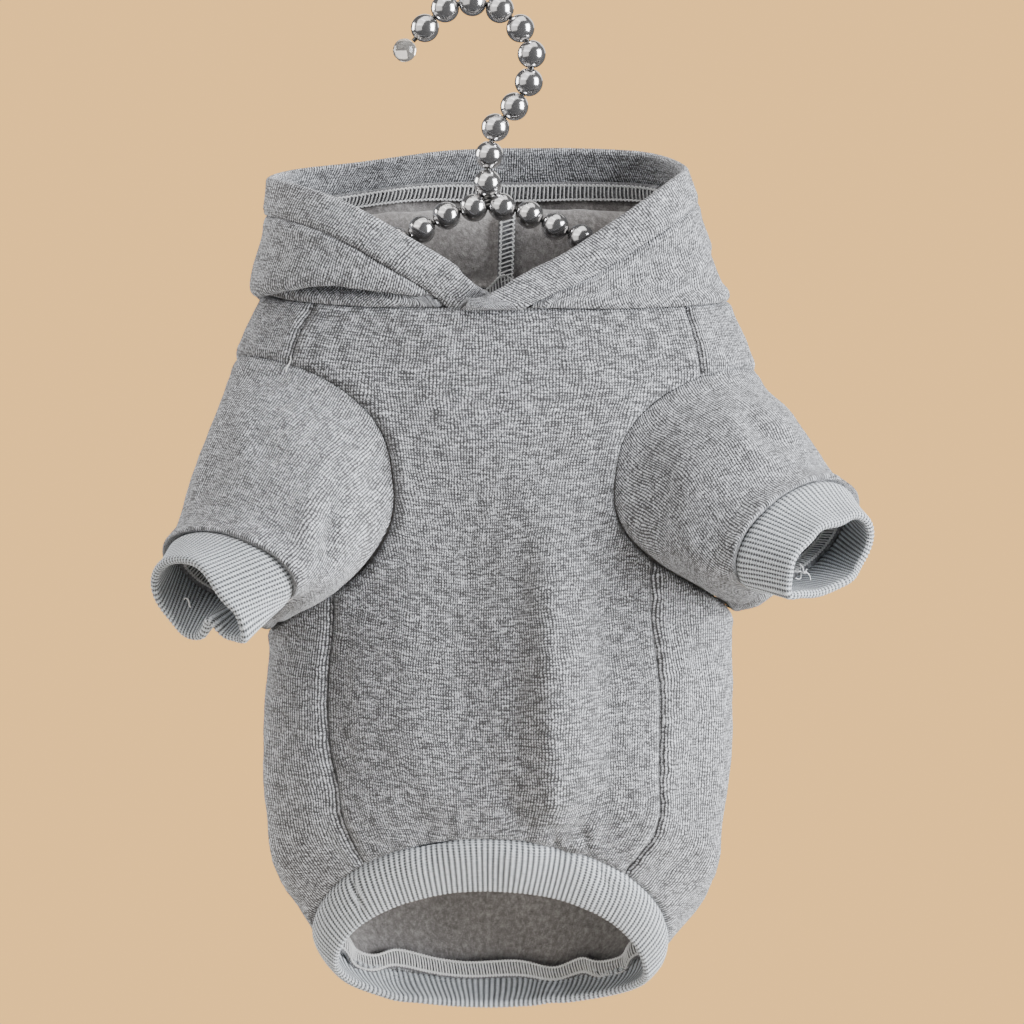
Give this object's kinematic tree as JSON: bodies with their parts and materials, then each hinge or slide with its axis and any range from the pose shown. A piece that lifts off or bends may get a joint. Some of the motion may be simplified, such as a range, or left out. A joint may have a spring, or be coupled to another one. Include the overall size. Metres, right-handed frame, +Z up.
{
  "type": "pet hoodie on hanger",
  "caption": "Small dog's sleeved fleece hoodie with a ribbed hem and cuffs and a lapped, open hood, hanging from a hook-topped hanger threaded with round beads.",
  "frame": {"origin": "in the crook of the hanger's hook, where a rail carries it", "axes": "+Z up, +Y from the chest and belly side towards the back, +X to the right of someone who faces the chest side"},
  "size_m": [0.2458, 0.1007, 0.3591],
  "materials": {
    "fleece": "matte heather knit, brushed inside",
    "ribbing": "matte 1 x 1 rib knit",
    "beads": "dark pearl gloss",
    "tip_bead": "clear gloss"
  },
  "bodies": {
    "root": {"front_panel": "fleece", "back_panel": "fleece", "left_sleeve": "fleece", "right_sleeve": "fleece", "hood_left": "fleece", "hood_right": "fleece", "hood_facing": "fleece", "left_cuff": "ribbing", "right_cuff": "ribbing", "hem_band": "ribbing", "hanger_hook": "beads", "hanger_arms": "beads", "hook_tip_bead": "tip_bead"}
  },
  "joints": []
}
